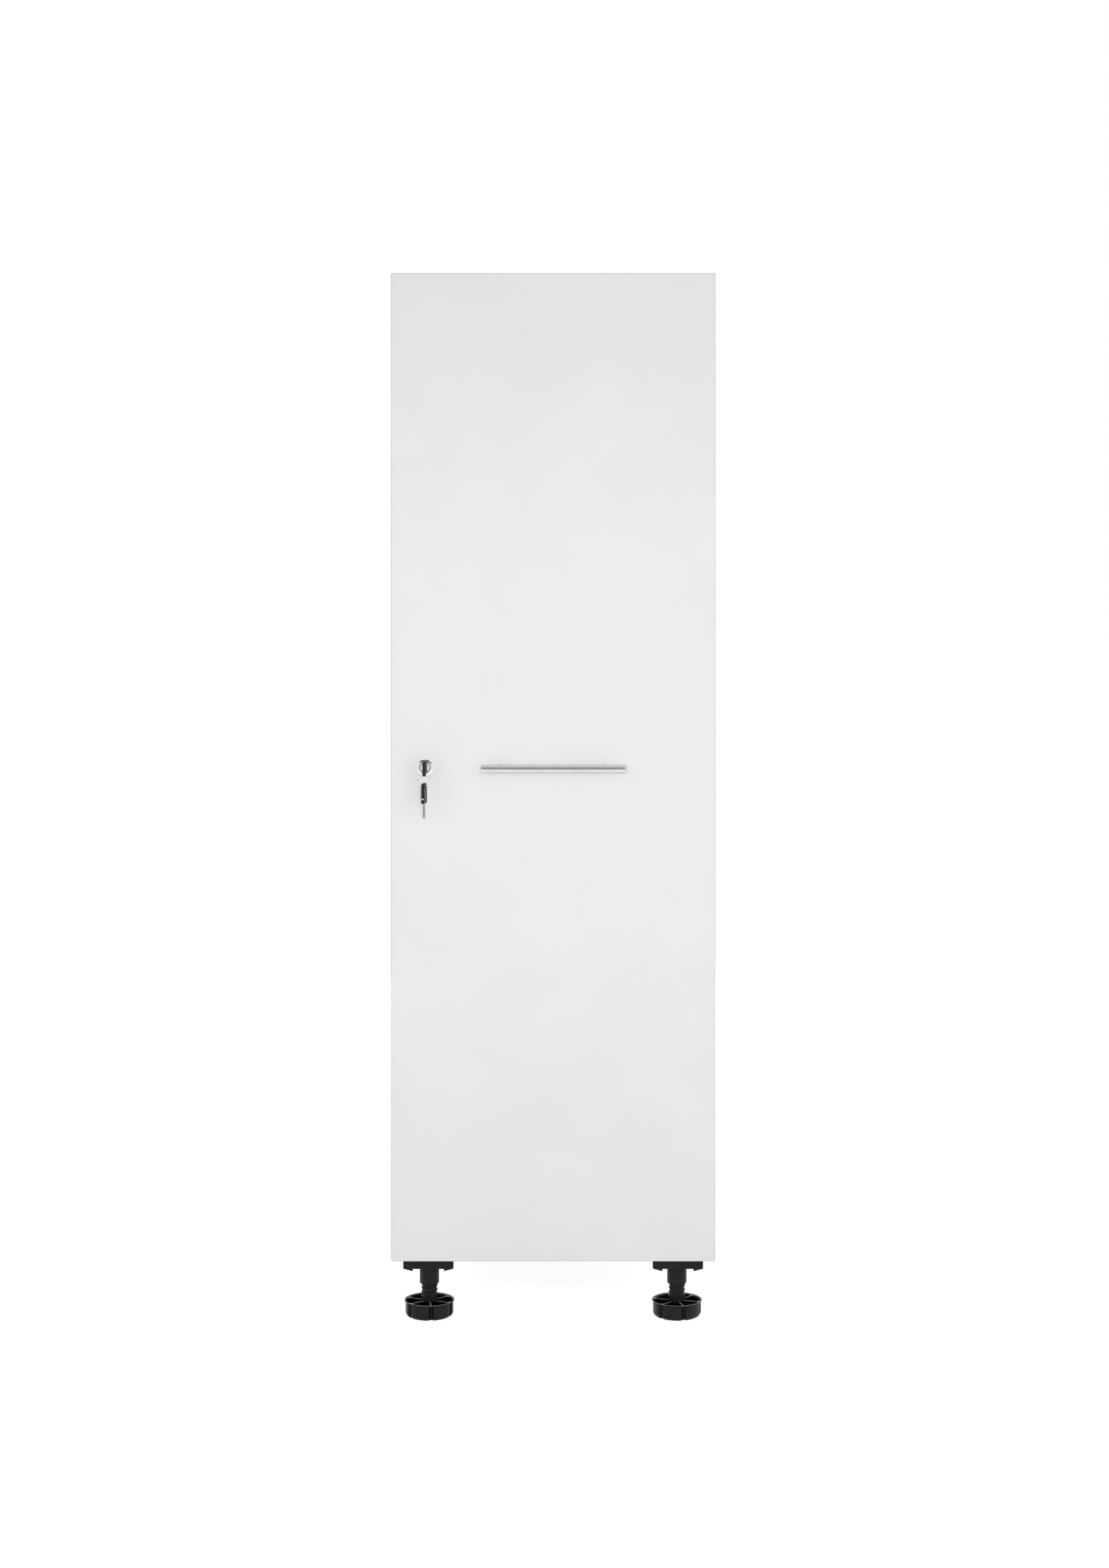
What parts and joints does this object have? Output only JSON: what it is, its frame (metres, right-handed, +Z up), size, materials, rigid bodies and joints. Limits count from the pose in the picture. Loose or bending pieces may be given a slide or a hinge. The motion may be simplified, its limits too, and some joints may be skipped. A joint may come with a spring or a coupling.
{
  "type": "broom cupboard",
  "caption": "Tall white cupboard with one right-hung door, T-bar handle, cam lock with keys, inner shelf and adjustable black legs.",
  "frame": {"origin": "on the floor, under the middle of the whole cupboard", "axes": "+Z up, front of the cupboard towards -Y, +X to the right as seen from the front"},
  "size_m": [0.5, 0.621, 1.62],
  "materials": {
    "white_board": "particle board with a smooth satin white melamine face",
    "white_back": "thin fibreboard, white lacquered",
    "white_edge": "white edging, satin",
    "beech": "fluted beech",
    "zinc": "zinc die-cast, plain",
    "nickelled_steel": "nickel plated",
    "screw_steel": "bright zinc plated",
    "satin_steel": "fine brushed stainless",
    "chrome": "polished chrome plate",
    "key_steel": "nickel plated",
    "black_bow": "moulded, fine satin",
    "bumper": "clear soft",
    "black_leg": "moulded, satin black"
  },
  "bodies": {
    "root": {"back_panel": "white_back", "bottom_panel": "white_board", "cam_bolts": "zinc", "cam_discs": "zinc", "carcass_edge_tapes": "white_edge", "dowels": "beech", "hinge_arm_screws": "screw_steel", "hinge_arms": "nickelled_steel", "hinge_plate_screws": "screw_steel", "hinge_plates": "nickelled_steel", "left_side_panel": "white_board", "leg_plate_screws": "screw_steel", "leg_plates": "black_leg", "leg_sockets": "black_leg", "lower_fixing_rail": "white_board", "right_side_panel": "white_board", "shelf": "white_board", "shelf_edge_tape": "white_edge", "shelf_pins": "zinc", "strike_plate": "screw_steel", "strike_screws": "screw_steel", "top_panel": "white_board", "upper_fixing_rail": "white_board"},
    "door": {"door_panel": "white_board", "door_edge_bands": "white_edge", "door_bumpers": "bumper", "handle_bar": "satin_steel", "handle_posts": "satin_steel", "handle_screws": "screw_steel", "lock_housing": "chrome", "lock_nut": "screw_steel", "hinge_cups": "nickelled_steel", "hinge_cup_screws": "screw_steel", "hinge_pivot_pins": "nickelled_steel", "hinge_springs": "nickelled_steel"},
    "lock_plug": {"lock_plug": "chrome", "lock_cam": "screw_steel", "cam_screw": "screw_steel"},
    "key": {"key_blade": "key_steel", "key_bow": "black_bow", "key_bow_pin": "key_steel"},
    "key_ring": {"key_ring": "key_steel"},
    "spare_key": {"spare_key_blade": "key_steel", "spare_key_bow": "black_bow", "spare_key_bow_pin": "key_steel"},
    "foot_front_left": {"foot_front_left": "black_leg"},
    "foot_front_right": {"foot_front_right": "black_leg"},
    "foot_rear_left": {"foot_rear_left": "black_leg"},
    "foot_rear_right": {"foot_rear_right": "black_leg"}
  },
  "joints": [
    {"name": "door_hinge", "type": "hinge", "parent": "root", "child": "door", "pos_m": [0.2405, -0.26147, 0.86], "axis": [0, 0, 1], "range_deg": [0, 100]},
    {"name": "lock_turn", "type": "hinge", "parent": "door", "child": "lock_plug", "pos_m": [-0.1965, -0.27147, 0.86], "axis": [0, 1, 0], "range_deg": [0, 90]},
    {"name": "key_pull", "type": "slide", "parent": "lock_plug", "child": "key", "axis": [0, -1, 0], "range_m": [0, 0.03]},
    {"name": "key_ring_hang", "type": "hinge", "parent": "key", "child": "key_ring", "pos_m": [-0.1968, -0.29897, 0.8501], "axis": [0, 1, 0], "range_deg": [-90, 0]},
    {"name": "spare_key_swing", "type": "hinge", "parent": "key_ring", "child": "spare_key", "pos_m": [-0.1965, -0.29897, 0.8343], "axis": [1, 0, 0], "range_deg": [-35, 25]},
    {"name": "front_left_foot_screw", "type": "slide", "parent": "root", "child": "foot_front_left", "axis": [0, 0, 1], "range_m": [-0.015, 0.015]},
    {"name": "front_right_foot_screw", "type": "slide", "parent": "root", "child": "foot_front_right", "axis": [0, 0, 1], "range_m": [-0.015, 0.015]},
    {"name": "rear_left_foot_screw", "type": "slide", "parent": "root", "child": "foot_rear_left", "axis": [0, 0, 1], "range_m": [-0.015, 0.015]},
    {"name": "rear_right_foot_screw", "type": "slide", "parent": "root", "child": "foot_rear_right", "axis": [0, 0, 1], "range_m": [-0.015, 0.015]}
  ],
  "couplings": [
    {"joint": "key_ring_hang", "follows": "lock_turn", "ratio": -1}
  ]
}
